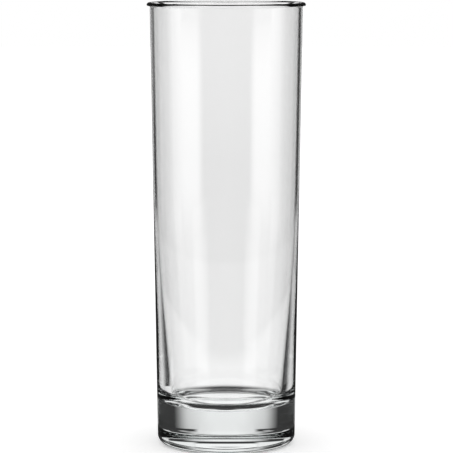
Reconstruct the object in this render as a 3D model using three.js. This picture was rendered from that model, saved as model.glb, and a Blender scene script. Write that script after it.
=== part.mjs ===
// Tall tumbler: one piece of clear soda-lime glass with a small rolled lip, a thin
// upper wall, a wall that thickens towards the foot, and a heavy solid base.
// Millimetres, +Z up. The origin is the centre of the foot, on the table.

import * as THREE from 'three';

// Driving dimensions
const HEIGHT = 165; // table to the crest of the rim
const FOOT_RADIUS = 25.75; // outer wall, carried down straight to the table
const RIM_RADIUS = 28.3; // outer wall, carried up straight to the crest
const RIM_WALL = 1.25; // wall of the upper half, measured level
const FLOOR_WALL = 5.1; // lower inner wall, carried down straight to the floor
const THICKEN_HEIGHT = 72.5; // where the wall begins to thicken downwards
const THICKEN_BLEND = 28; // reach of the soft bend, above and below that height
const FLOOR_HEIGHT = 14.8; // inner floor above the table
const FLOOR_FILLET = 7.2; // inner floor into the wall
const LIP_OVERHANG = 1.15; // how far the lip stands out from the wall
const LIP_ROUND = 0.9; // crest of the lip into its edge
const LIP_EDGE = 0.3; // edge of the lip, rounded underneath
const NECK_RADIUS = 0.5; // hollow between the lip and the wall
const HEEL_RADIUS = 3.1; // foot into the outer wall
const FOOT_RING_WIDTH = 1; // flat ring that the glass stands on
const RING_EDGE_RADIUS = 0.8; // foot ring into the push-up
const PUSH_UP_DEPTH = 2; // hollow under the base, inside the foot ring

// Fineness of the facets
const SEGMENTS_AROUND = 72;
const ARC_STEP = Math.PI / 12;
const BEND_STEPS = 8;
const DOME_STEPS = 6;

// Finish
const GLASS_COLOUR = 0xe4ebea;
const GLASS_ROUGHNESS = 0.03;
const GLASS_OPACITY = 0.35;

// The profile is drawn in a plane: x is the distance from the axis, y the height.
const point = (radius, height) => new THREE.Vector2(radius, height);

// A straight line in the profile that leans out as it rises.
function leaningLine(low, high) {
  const lean = Math.atan2(high.x - low.x, high.y - low.y);
  return {
    lean,
    along: point(Math.sin(lean), Math.cos(lean)),
    outward: point(Math.cos(lean), -Math.sin(lean)),
    at: (height) => point(low.x + (height - low.y) * Math.tan(lean), height),
  };
}

function stepsFor(startAngle, endAngle) {
  return Math.max(2, Math.ceil(Math.abs(endAngle - startAngle) / ARC_STEP));
}

function arc(centre, radius, startAngle, endAngle, steps = stepsFor(startAngle, endAngle)) {
  const clockwise = endAngle < startAngle;
  const curve = new THREE.EllipseCurve(centre.x, centre.y, radius, radius, startAngle, endAngle, clockwise);
  return curve.getPoints(steps);
}

// Arcs end to end, without repeating the points where they meet.
function chain(...arcs) {
  return arcs.flatMap((points, i) => (i === 0 ? points : points.slice(1)));
}

// Centre of the fillet between a level line at this height and a wall that leans out from it.
function levelFilletCentre(wall, height, radius) {
  const reach = radius * Math.tan(Math.PI / 4 - wall.lean / 2);
  return point(wall.at(height).x - reach, height + radius);
}

const direction = (from, to) => Math.atan2(to.y - from.y, to.x - from.x);

const DOWN = -Math.PI / 2;
const UP = Math.PI / 2;

// Outer wall, the upper inner wall that runs parallel to it, and the lower inner wall
const outerWall = leaningLine(point(FOOT_RADIUS, 0), point(RIM_RADIUS, HEIGHT));
const innerAt = (height, wall) => point(outerWall.at(height).x - wall, height);
const thickenPoint = innerAt(THICKEN_HEIGHT, RIM_WALL);
const lowerInnerWall = leaningLine(innerAt(FLOOR_HEIGHT, FLOOR_WALL), thickenPoint);

// Underside: a shallow dome, a rounded edge into the flat foot ring, then the rounded heel
function underside() {
  const heelCentre = levelFilletCentre(outerWall, 0, HEEL_RADIUS);
  const edgeCentre = point(heelCentre.x - FOOT_RING_WIDTH, RING_EDGE_RADIUS);
  const domeRadius = (edgeCentre.x ** 2 + PUSH_UP_DEPTH ** 2) / (2 * PUSH_UP_DEPTH) - RING_EDGE_RADIUS;
  const domeCentre = point(0, PUSH_UP_DEPTH - domeRadius);
  const domeToEdge = direction(domeCentre, edgeCentre);

  const dome = arc(domeCentre, domeRadius, UP, domeToEdge, DOME_STEPS);
  const edge = arc(edgeCentre, RING_EDGE_RADIUS, domeToEdge - Math.PI, DOWN);
  const heel = arc(heelCentre, HEEL_RADIUS, DOWN, -outerWall.lean);
  return [...chain(dome, edge), ...heel];
}

// Lip: a small hollow in the outer wall, a slim edge that stands out from it, a round
// crest and a softer shoulder down to the inner wall
function lip() {
  const edgeHeight = HEIGHT - LIP_ROUND;
  const wallPoint = outerWall.at(edgeHeight);
  const tip = wallPoint.x + LIP_OVERHANG;
  const edgeCentre = point(tip - LIP_EDGE, edgeHeight);
  const standOut = edgeCentre.clone().sub(wallPoint).dot(outerWall.outward);
  const drop = Math.sqrt((NECK_RADIUS + LIP_EDGE) ** 2 - (NECK_RADIUS - standOut) ** 2);
  const neckCentre = edgeCentre.clone()
    .addScaledVector(outerWall.outward, NECK_RADIUS - standOut)
    .addScaledVector(outerWall.along, -drop);
  const neckToEdge = direction(neckCentre, edgeCentre);
  const crestCentre = point(tip - LIP_ROUND, edgeHeight);
  const shoulderRadius = crestCentre.x - innerAt(edgeHeight, RIM_WALL).x;
  const shoulderCentre = point(crestCentre.x, HEIGHT - shoulderRadius);

  const neck = arc(neckCentre, NECK_RADIUS, Math.PI - outerWall.lean, neckToEdge);
  const edge = arc(edgeCentre, LIP_EDGE, neckToEdge - Math.PI, 0);
  const crest = arc(crestCentre, LIP_ROUND, 0, UP);
  const shoulder = arc(shoulderCentre, shoulderRadius, UP, Math.PI - outerWall.lean);
  return chain(neck, edge, crest, shoulder);
}

// Inside: straight down from the lip, a soft bend into the thicker lower wall,
// a round corner and a level floor
function wallBend() {
  const curve = new THREE.QuadraticBezierCurve(
    innerAt(THICKEN_HEIGHT + THICKEN_BLEND, RIM_WALL),
    thickenPoint,
    lowerInnerWall.at(THICKEN_HEIGHT - THICKEN_BLEND),
  );
  return curve.getPoints(BEND_STEPS);
}

function floor() {
  const centre = levelFilletCentre(lowerInnerWall, FLOOR_HEIGHT, FLOOR_FILLET);
  const corner = arc(centre, FLOOR_FILLET, -lowerInnerWall.lean, DOWN);
  return [...corner, point(0, FLOOR_HEIGHT)];
}

function makeTumbler() {
  const profile = [...underside(), ...lip(), ...wallBend(), ...floor()];
  const geometry = new THREE.LatheGeometry(profile, SEGMENTS_AROUND);
  const material = new THREE.MeshStandardMaterial({
    color: GLASS_COLOUR,
    roughness: GLASS_ROUGHNESS,
    metalness: 0,
    transparent: true,
    opacity: GLASS_OPACITY,
  });
  const mesh = new THREE.Mesh(geometry, material);
  mesh.name = 'tumbler';
  // The lathe turns about Y; the tumbler stands on Z.
  mesh.rotation.x = Math.PI / 2;
  return mesh;
}

const model = new THREE.Group();
model.add(makeTumbler());

export default model;
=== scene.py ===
"""Tall tumbler of clear glass on a pale floor, in soft studio light.

The glass is one piece, turned from one profile. Its sizes are those of the CAD solid and
only its steps are finer, so that it refracts smoothly. Profile lengths are in millimetres.
Everything else in the scene is in metres, with +Z up and the origin at the centre of the foot.
"""

import math
from typing import NamedTuple

import bmesh
import bpy
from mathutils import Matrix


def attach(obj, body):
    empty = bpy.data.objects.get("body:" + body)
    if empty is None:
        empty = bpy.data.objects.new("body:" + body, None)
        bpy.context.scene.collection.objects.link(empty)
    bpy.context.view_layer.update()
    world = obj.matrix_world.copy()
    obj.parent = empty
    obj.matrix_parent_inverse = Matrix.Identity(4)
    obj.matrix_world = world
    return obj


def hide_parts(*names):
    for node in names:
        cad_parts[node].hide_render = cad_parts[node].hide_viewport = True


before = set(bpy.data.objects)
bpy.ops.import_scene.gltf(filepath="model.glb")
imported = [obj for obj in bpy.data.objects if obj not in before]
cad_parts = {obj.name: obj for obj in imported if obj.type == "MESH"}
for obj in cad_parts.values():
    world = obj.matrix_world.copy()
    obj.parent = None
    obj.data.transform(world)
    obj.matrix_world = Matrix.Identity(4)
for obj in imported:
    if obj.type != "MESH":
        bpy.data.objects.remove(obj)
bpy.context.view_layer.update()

# Profile of the glass, in millimetres
HEIGHT = 165.0  # table to the crest of the rim
FOOT_RADIUS = 25.75  # outer wall, carried down straight to the table
RIM_RADIUS = 28.3  # outer wall, carried up straight to the crest
RIM_WALL = 1.25  # wall above the bend, measured level
FLOOR_WALL = 5.1  # lower wall, measured level where it would meet the floor
THICKEN_HEIGHT = 72.5  # where the upper and lower inner walls would meet without the bend
THICKEN_BLEND = 28.0  # reach of the soft bend, above and below that height
FLOOR_HEIGHT = 14.8  # inner floor above the table
FLOOR_FILLET = 7.2  # inner floor into the wall
LIP_OVERHANG = 1.15  # how far the lip stands out from the wall
LIP_ROUND = 0.9  # crest of the lip into its edge
LIP_EDGE = 0.3  # edge of the lip, rounded underneath
NECK_RADIUS = 0.5  # hollow between the lip and the wall
HEEL_RADIUS = 3.1  # foot into the outer wall
FOOT_RING_WIDTH = 1.0  # flat ring that the glass stands on
RING_EDGE_RADIUS = 0.8  # foot ring into the push-up
PUSH_UP_DEPTH = 2.0  # hollow under the base, inside the foot ring
MILLIMETRE = 0.001  # in metres

# Fineness of the mesh
SEGMENTS_AROUND = 256
ARC_STEP = math.radians(5)
LEAST_ARC_STEPS = 3
DOME_STEPS = 24
BEND_STEPS = 24
OUTER_WALL_STEPS = 24
INNER_STEPS = 12  # for each straight run inside the glass

# Glass
WHITE = (1, 1, 1, 1)
GLASS_IOR = 1.52
GLASS_TINT = (0.5, 0.65, 0.63)  # red is absorbed most, which leaves a cool cast
GLASS_DENSITY = 3.0  # a metre lets through exp(-density * (1 - tint)) of each colour
FINISH_ROUGHNESS = (0.0, 0.006)  # clear spots and hazier spots of the fire polish
FINISH_SPOTS = 60.0  # per metre
FINISH_DETAIL = 3.0  # finer clouds within the spots
FINISH_CLEAR = 0.35  # the polish is clear where the pattern is lower than this
FINISH_HAZY = 0.75  # and haziest where it is higher than this
WAVE_HEIGHT = 0.000001  # metres
WAVES = 45.0  # per metre
WAVE_DETAIL = 1.0
GLASS_BOUNCES = 10  # light that stays longer in the wall is lost

# Camera
CAMERA_DISTANCE = 0.921  # from the axis of the glass
CAMERA_HEIGHT = 0.194
CAMERA_PITCH = 6.962  # degrees below level
CAMERA_LENS = 197.36  # millimetres
CAMERA_SENSOR = 36.0  # millimetres
CAMERA_SHIFT = 0.0005  # puts the axis of the glass a little left of the middle
CAMERA_NEAR = 0.01  # nearest that it sees
LEVEL_TURN = 90  # degrees that turn a camera from straight down to level

# Floor
FLOOR_HALF_SIZE = 3.0
FLOOR_GAP = 0.0002  # keeps the foot from lying in the plane of the floor
FLOOR_GREY = 0.9  # share of the light that the matt floor sends back
FLOOR_GLOW = 0.26  # added for the camera, so that the open floor comes out white


class Panel(NamedTuple):
    """A bright card or lamp of the studio, as the glass sees it. Angles are in degrees."""

    azimuth: float  # 0 is behind the glass, and positive is to the left
    half_width: float
    low: float  # elevation of the lower edge
    high: float  # elevation of the upper edge
    level: float  # brightness of the middle, where 1 is white
    edge_level: float  # brightness of the left and right edges
    side_blur: float
    low_blur: float
    high_blur: float


def both_sides(*numbers):
    """A panel on the left and its mirror image on the right."""
    left = Panel(*numbers)
    return [left, left._replace(azimuth=-left.azimuth)]


# Seen through the glass. A row gives azimuth, half width, low, high, level and edge level,
# and then the blur of the sides, of the lower edge and of the upper edge.
BACKDROPS = [
    # White backdrop, paler in the middle
    Panel(0, 18, -16, 4, 0.92, 0.8, 2.5, 1, 2),
    Panel(0, 18, -14, 4, 0.975, 0.8, 2.5, 12, 2),
    Panel(0, 24, -1, 13, 0.975, 0.55, 7, 2, 1.2),
    # Pale strips beside it, and a lower one on the left
    *both_sides(27, 5, -1, 3.5, 0.6, 0.4, 3, 1, 3),
    Panel(25.5, 3, -4.5, 0, 0.35, 0.35, 1.2, 1.5, 1),
    # White table behind the glass, wider than the backdrop
    Panel(0, 32, -15, -9.2, 0.95, 0.62, 9, 1, 1.2),
    Panel(0, 33, -26, -13, 1.04, 0.95, 11, 4, 1.5),
    Panel(0, 22, -43.5, -14, 1.04, 0.9, 8, 6, 2),
    *both_sides(14, 6, -58, -44, 0.6, 0.6, 4, 5, 3),
    # Upper backdrop, its wings and the overhead light
    Panel(0, 22, 20.5, 29.5, 1.05, 1.05, 5, 1.2, 0.8),
    *both_sides(38, 20, 17, 29.5, 0.95, 0.95, 3, 1.2, 0.8),
    *both_sides(54, 8, 11, 29.5, 0.95, 0.95, 2, 0.4, 0.8),
    Panel(0, 181, 36, 80, 1.1, 1.1, 5, 2, 4),
    # White cloths round the rest of the studio
    Panel(45, 21, -38, -20.4, 0.95, 0.75, 4, 5, 0.3),
    *both_sides(90, 12, -12, 7, 0.9, 0.8, 3, 2, 2),
    *both_sides(135, 13, -26, -9.5, 0.92, 0.8, 3, 3, 1),
]
# Softboxes beside the camera, both mirrored in the glass and seen through it
SOFTBOXES = both_sides(118, 20, -9.7, -1, 1.15, 1.15, 7, 3, 1)
# Grey cards beside the backdrop, only mirrored
CARDS = [
    Panel(50, 13, -9.5, 1, 0.65, 0.55, 2, 1.5, 2),
    Panel(-53, 11, -9.5, 1, 0.42, 0.4, 2, 1.5, 2),
]
DARK_LEVEL = 0.04  # the unlit studio between the panels
FILL_LEVEL = 1.0  # even light on matt surfaces
BACKGROUND_LEVEL = 1.0
PANEL_FALLOFF_START = 0.3  # share of the half width where a panel begins to fade

# Angles
UP = math.pi / 2
DOWN = -math.pi / 2
HALF_TURN = 180.0  # degrees
DEGREES_PER_RADIAN = 180 / math.pi

OUTER_SLOPE = (RIM_RADIUS - FOOT_RADIUS) / HEIGHT
OUTER_LEAN = math.atan(OUTER_SLOPE)


# Profile


def direction(start, end):
    """Angle of the line from one point to another."""
    return math.atan2(end[1] - start[1], end[0] - start[0])


def arc(centre, radius, start, end, steps=None):
    """Points of an arc, with both ends."""
    steps = steps or max(LEAST_ARC_STEPS, math.ceil(abs(end - start) / ARC_STEP))
    angles = [start + (end - start) * i / steps for i in range(steps + 1)]
    return [(centre[0] + radius * math.cos(a), centre[1] + radius * math.sin(a)) for a in angles]


def chain(*arcs):
    """Arcs end to end, without repeating the points where they meet."""
    return arcs[0] + [point for points in arcs[1:] for point in points[1:]]


def line(start, end, steps):
    """Points between two ends, without the ends."""
    shares = [i / steps for i in range(1, steps)]
    return [tuple(a + (b - a) * t for a, b in zip(start, end)) for t in shares]


def soft_bend(start, corner, end):
    """Points of a curve that rounds off the corner between two lines, with both ends."""
    shares = [i / BEND_STEPS for i in range(BEND_STEPS + 1)]
    return [
        tuple((1 - t) ** 2 * a + 2 * t * (1 - t) * b + t**2 * c for a, b, c in zip(start, corner, end))
        for t in shares
    ]


def outer_radius(height):
    """Radius of the outer wall at a height."""
    return FOOT_RADIUS + OUTER_SLOPE * height


def level_fillet_centre(wall_radius, lean, height, radius):
    """Centre of the fillet between a level line and a wall that leans out from it."""
    return (wall_radius - radius * math.tan(math.pi / 4 - lean / 2), height + radius)


def underside():
    """Shallow dome, rounded edge into the flat foot ring, and rounded heel, from the axis outwards."""
    heel_centre = level_fillet_centre(FOOT_RADIUS, OUTER_LEAN, 0, HEEL_RADIUS)
    edge_centre = (heel_centre[0] - FOOT_RING_WIDTH, RING_EDGE_RADIUS)
    dome_radius = (edge_centre[0] ** 2 + PUSH_UP_DEPTH**2) / (2 * PUSH_UP_DEPTH) - RING_EDGE_RADIUS
    dome_centre = (0, PUSH_UP_DEPTH - dome_radius)
    to_edge = direction(dome_centre, edge_centre)
    dome = arc(dome_centre, dome_radius, UP, to_edge, DOME_STEPS)
    dome[0] = (0, PUSH_UP_DEPTH)  # exactly on the axis
    edge = arc(edge_centre, RING_EDGE_RADIUS, to_edge - math.pi, DOWN)
    heel = arc(heel_centre, HEEL_RADIUS, DOWN, -OUTER_LEAN)
    return chain(dome, edge) + heel


def lip():
    """Small hollow, slim edge, round crest and softer shoulder, from the outer to the inner wall."""
    edge_height = HEIGHT - LIP_ROUND
    wall = outer_radius(edge_height)
    tip = wall + LIP_OVERHANG
    edge_centre = (tip - LIP_EDGE, edge_height)
    out = NECK_RADIUS - (edge_centre[0] - wall) * math.cos(OUTER_LEAN)
    drop = math.sqrt((NECK_RADIUS + LIP_EDGE) ** 2 - out**2)
    neck_centre = (
        edge_centre[0] + out * math.cos(OUTER_LEAN) - drop * math.sin(OUTER_LEAN),
        edge_centre[1] - out * math.sin(OUTER_LEAN) - drop * math.cos(OUTER_LEAN),
    )
    to_edge = direction(neck_centre, edge_centre)
    crest_centre = (tip - LIP_ROUND, edge_height)
    shoulder_radius = crest_centre[0] - (wall - RIM_WALL)
    shoulder_centre = (crest_centre[0], HEIGHT - shoulder_radius)
    return chain(
        arc(neck_centre, NECK_RADIUS, math.pi - OUTER_LEAN, to_edge),
        arc(edge_centre, LIP_EDGE, to_edge - math.pi, 0),
        arc(crest_centre, LIP_ROUND, 0, UP),
        arc(shoulder_centre, shoulder_radius, UP, math.pi - OUTER_LEAN),
    )


def inner_side():
    """Soft bend into the thicker lower wall, round corner and level floor, ending on the axis."""
    bend = (outer_radius(THICKEN_HEIGHT) - RIM_WALL, THICKEN_HEIGHT)
    foot = (outer_radius(FLOOR_HEIGHT) - FLOOR_WALL, FLOOR_HEIGHT)
    lean = math.atan2(bend[0] - foot[0], bend[1] - foot[1])
    top_height = THICKEN_HEIGHT + THICKEN_BLEND
    top = (outer_radius(top_height) - RIM_WALL, top_height)
    low = (bend[0] - THICKEN_BLEND * math.tan(lean), THICKEN_HEIGHT - THICKEN_BLEND)
    curve = soft_bend(top, bend, low)
    corner_centre = level_fillet_centre(foot[0], lean, FLOOR_HEIGHT, FLOOR_FILLET)
    corner = arc(corner_centre, FLOOR_FILLET, -lean, DOWN)
    floor_centre = (0, FLOOR_HEIGHT)
    wall = line(curve[-1], corner[0], INNER_STEPS)
    floor = line(corner[-1], floor_centre, INNER_STEPS)
    return curve + wall + corner + floor + [floor_centre]


def tumbler_profile():
    """Radius and height of the glass, from the centre of its underside to the centre of its floor."""
    foot, rim, inside = underside(), lip(), inner_side()
    outer_wall = line(foot[-1], rim[0], OUTER_WALL_STEPS)
    inner_wall = line(rim[-1], inside[0], INNER_STEPS)
    return foot + outer_wall + rim + inner_wall + inside


# Mesh


def ring(mesh, radius, height):
    """A ring of vertices, or one vertex on the axis. Radius and height are in millimetres."""
    z = height * MILLIMETRE
    if radius == 0:
        return [mesh.verts.new((0, 0, z))]
    turns = [2 * math.pi * i / SEGMENTS_AROUND for i in range(SEGMENTS_AROUND)]
    scale = radius * MILLIMETRE
    return [mesh.verts.new((scale * math.cos(t), scale * math.sin(t), z)) for t in turns]


def join_rings(mesh, first, second):
    """Faces between two neighbouring rings, one of which may be a vertex on the axis."""
    for i in range(SEGMENTS_AROUND):
        j = (i + 1) % SEGMENTS_AROUND
        if len(first) == 1:
            corners = (first[0], second[j], second[i])
        elif len(second) == 1:
            corners = (first[i], first[j], second[0])
        else:
            corners = (first[i], first[j], second[j], second[i])
        mesh.faces.new(corners).smooth = True


def turned_piece(name, profile):
    """A closed solid of revolution about Z."""
    mesh = bmesh.new()
    rings = [ring(mesh, radius, height) for radius, height in profile]
    for first, second in zip(rings, rings[1:]):
        join_rings(mesh, first, second)
    bmesh.ops.recalc_face_normals(mesh, faces=mesh.faces)
    data = bpy.data.meshes.new(name)
    mesh.to_mesh(data)
    mesh.free()
    piece = bpy.data.objects.new(name, data)
    bpy.context.scene.collection.objects.link(piece)
    return piece


# Node helpers

MIX_INPUTS = (0, 2, 3)  # share, first and last value of a mix of plain numbers


class Nodes:
    """Short forms for building a node tree."""

    def __init__(self, tree):
        self.tree = tree
        tree.nodes.clear()

    def add(self, kind):
        return self.tree.nodes.new(kind)

    def put(self, socket, value):
        """Links an output to a socket, or sets the socket to a plain value."""
        if isinstance(value, bpy.types.NodeSocket):
            self.tree.links.new(value, socket)
        else:
            socket.default_value = value

    def math(self, operation, *values):
        node = self.add("ShaderNodeMath")
        node.operation = operation
        for socket, value in zip(node.inputs, values):
            self.put(socket, value)
        return node.outputs[0]

    def ramp(self, value, start, end, first, last, smooth=True):
        """Goes from first to last while the value goes from start to end."""
        node = self.add("ShaderNodeMapRange")
        node.interpolation_type = "SMOOTHSTEP" if smooth else "LINEAR"
        settings = {"Value": value, "From Min": start, "From Max": end, "To Min": first, "To Max": last}
        for name, setting in settings.items():
            self.put(node.inputs[name], setting)
        return node.outputs["Result"]

    def mix(self, share, first, last):
        """First where the share is 0, and last where it is 1."""
        node = self.add("ShaderNodeMix")
        for index, value in zip(MIX_INPUTS, (share, first, last)):
            self.put(node.inputs[index], value)
        return node.outputs[0]

    def noise(self, scale, detail):
        """Cloudy pattern that is fixed to the piece, in metres."""
        node = self.add("ShaderNodeTexNoise")
        self.put(node.inputs["Vector"], self.add("ShaderNodeTexCoord").outputs["Object"])
        self.put(node.inputs["Scale"], scale)
        self.put(node.inputs["Detail"], detail)
        return node.outputs["Fac"]


# Materials


def glass_surface(nodes):
    """Clear surface, with the faint waves and the spots of haze that a fire polish leaves."""
    surface = nodes.add("ShaderNodeBsdfPrincipled")
    nodes.put(surface.inputs["Base Color"], WHITE)
    nodes.put(surface.inputs["IOR"], GLASS_IOR)
    nodes.put(surface.inputs["Transmission Weight"], 1.0)
    spots = nodes.noise(FINISH_SPOTS, FINISH_DETAIL)
    haze = nodes.ramp(spots, FINISH_CLEAR, FINISH_HAZY, *FINISH_ROUGHNESS)
    nodes.put(surface.inputs["Roughness"], haze)
    waves = nodes.add("ShaderNodeBump")
    nodes.put(waves.inputs["Strength"], 1.0)
    nodes.put(waves.inputs["Distance"], WAVE_HEIGHT)
    nodes.put(waves.inputs["Height"], nodes.noise(WAVES, WAVE_DETAIL))
    nodes.put(surface.inputs["Normal"], waves.outputs["Normal"])
    return surface.outputs["BSDF"]


def glass_body(nodes):
    """Trace of cool tint, stronger where the glass is thicker."""
    body = nodes.add("ShaderNodeVolumeAbsorption")
    nodes.put(body.inputs["Color"], (*GLASS_TINT, 1))
    nodes.put(body.inputs["Density"], GLASS_DENSITY)
    return body.outputs["Volume"]


def glass_material():
    """Clear soda-lime glass."""
    material = bpy.data.materials.new("clear_glass")
    material.use_nodes = True
    nodes = Nodes(material.node_tree)
    output = nodes.add("ShaderNodeOutputMaterial")
    nodes.put(output.inputs["Surface"], glass_surface(nodes))
    nodes.put(output.inputs["Volume"], glass_body(nodes))
    return material


def floor_material():
    """Pale matt floor that comes out white in the light and keeps the shadow of the glass."""
    material = bpy.data.materials.new("pale_floor")
    material.use_nodes = True
    nodes = Nodes(material.node_tree)
    output = nodes.add("ShaderNodeOutputMaterial")
    matt = nodes.add("ShaderNodeBsdfDiffuse")
    nodes.put(matt.inputs["Color"], (FLOOR_GREY, FLOOR_GREY, FLOOR_GREY, 1))
    glow = nodes.add("ShaderNodeEmission")
    for_camera = nodes.add("ShaderNodeLightPath").outputs["Is Camera Ray"]
    nodes.put(glow.inputs["Strength"], nodes.math("MULTIPLY", for_camera, FLOOR_GLOW))
    both = nodes.add("ShaderNodeAddShader")
    nodes.put(both.inputs[0], matt.outputs["BSDF"])
    nodes.put(both.inputs[1], glow.outputs["Emission"])
    nodes.put(output.inputs["Surface"], both.outputs["Shader"])
    return material


# Studio


def ray_angles(nodes):
    """Azimuth and elevation that a ray leaves the scene at, in degrees."""
    parts = nodes.add("ShaderNodeSeparateXYZ")
    nodes.put(parts.inputs["Vector"], nodes.add("ShaderNodeTexCoord").outputs["Generated"])
    x, y, z = parts.outputs
    turn = nodes.math("ARCTAN2", nodes.math("MULTIPLY", x, -1.0), y)
    azimuth = nodes.math("MULTIPLY", turn, DEGREES_PER_RADIAN)
    elevation = nodes.math("MULTIPLY", nodes.math("ARCSINE", z), DEGREES_PER_RADIAN)
    return azimuth, elevation


def panel_light(nodes, panel, azimuth, elevation):
    """Brightness that one panel sends from a direction."""
    apart = nodes.math("WRAP", nodes.math("SUBTRACT", azimuth, panel.azimuth), HALF_TURN, -HALF_TURN)
    apart = nodes.math("ABSOLUTE", apart)
    edge, blur = panel.half_width, panel.side_blur
    inside = nodes.ramp(apart, edge - blur, edge + blur, 1.0, 0.0)
    above = nodes.ramp(elevation, panel.low - panel.low_blur, panel.low + panel.low_blur, 0.0, 1.0)
    below = nodes.ramp(elevation, panel.high - panel.high_blur, panel.high + panel.high_blur, 1.0, 0.0)
    fade_start = PANEL_FALLOFF_START * edge
    level = nodes.ramp(apart, fade_start, edge, panel.level, panel.edge_level, smooth=False)
    across = nodes.math("MULTIPLY", inside, level)
    upright = nodes.math("MULTIPLY", above, below)
    return nodes.math("MULTIPLY", across, upright)


def brightest(nodes, light, panels, azimuth, elevation):
    """The light of the brightest panel in a direction, or the given light where that is brighter."""
    for panel in panels:
        light = nodes.math("MAXIMUM", panel_light(nodes, panel, azimuth, elevation), light)
    return light


def studio_world():
    """White for the camera, panels in a dark studio for the glass, and even light for matt surfaces.

    Cards are only mirrored in the glass, backdrops are only seen through it, and softboxes are both.
    """
    world = bpy.data.worlds.new("studio")
    world.use_nodes = True
    nodes = Nodes(world.node_tree)
    azimuth, elevation = ray_angles(nodes)
    lamps = brightest(nodes, DARK_LEVEL, SOFTBOXES, azimuth, elevation)
    mirrored = brightest(nodes, lamps, CARDS, azimuth, elevation)
    seen_through = brightest(nodes, lamps, BACKDROPS, azimuth, elevation)
    path = nodes.add("ShaderNodeLightPath")
    level = nodes.mix(path.outputs["Is Glossy Ray"], FILL_LEVEL, mirrored)
    level = nodes.mix(path.outputs["Is Transmission Ray"], level, seen_through)
    level = nodes.mix(path.outputs["Is Camera Ray"], level, BACKGROUND_LEVEL)
    background = nodes.add("ShaderNodeBackground")
    nodes.put(background.inputs["Color"], WHITE)
    nodes.put(background.inputs["Strength"], level)
    output = nodes.add("ShaderNodeOutputWorld")
    nodes.put(output.inputs["Surface"], background.outputs["Background"])
    return world


def studio_floor():
    """Wide floor just under the foot."""
    half = FLOOR_HALF_SIZE
    data = bpy.data.meshes.new("floor")
    corners = [(-half, -half, 0), (half, -half, 0), (half, half, 0), (-half, half, 0)]
    data.from_pydata(corners, [], [(0, 1, 2, 3)])
    data.materials.append(floor_material())
    floor = bpy.data.objects.new("floor", data)
    floor.location.z = -FLOOR_GAP
    # The glass shows the panels of the studio instead
    floor.visible_transmission = False
    floor.visible_glossy = False
    bpy.context.scene.collection.objects.link(floor)
    return floor


def studio_camera():
    """Camera in front of the glass, looking a little down."""
    data = bpy.data.cameras.new("camera")
    data.sensor_width = CAMERA_SENSOR
    data.lens = CAMERA_LENS
    data.shift_x = CAMERA_SHIFT
    data.clip_start = CAMERA_NEAR
    camera = bpy.data.objects.new("camera", data)
    camera.location = (0, -CAMERA_DISTANCE, CAMERA_HEIGHT)
    camera.rotation_euler = (math.radians(LEVEL_TURN - CAMERA_PITCH), 0, 0)
    bpy.context.scene.collection.objects.link(camera)
    return camera


# Scene

scene = bpy.context.scene
scene.view_settings.view_transform = "Standard"
scene.cycles.max_bounces = GLASS_BOUNCES
scene.cycles.transmission_bounces = GLASS_BOUNCES
scene.cycles.glossy_bounces = GLASS_BOUNCES
scene.world = studio_world()
scene.camera = studio_camera()
studio_floor()

tumbler = turned_piece("tumbler_glass", tumbler_profile())
tumbler.data.materials.append(glass_material())
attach(tumbler, "root")
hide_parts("tumbler")
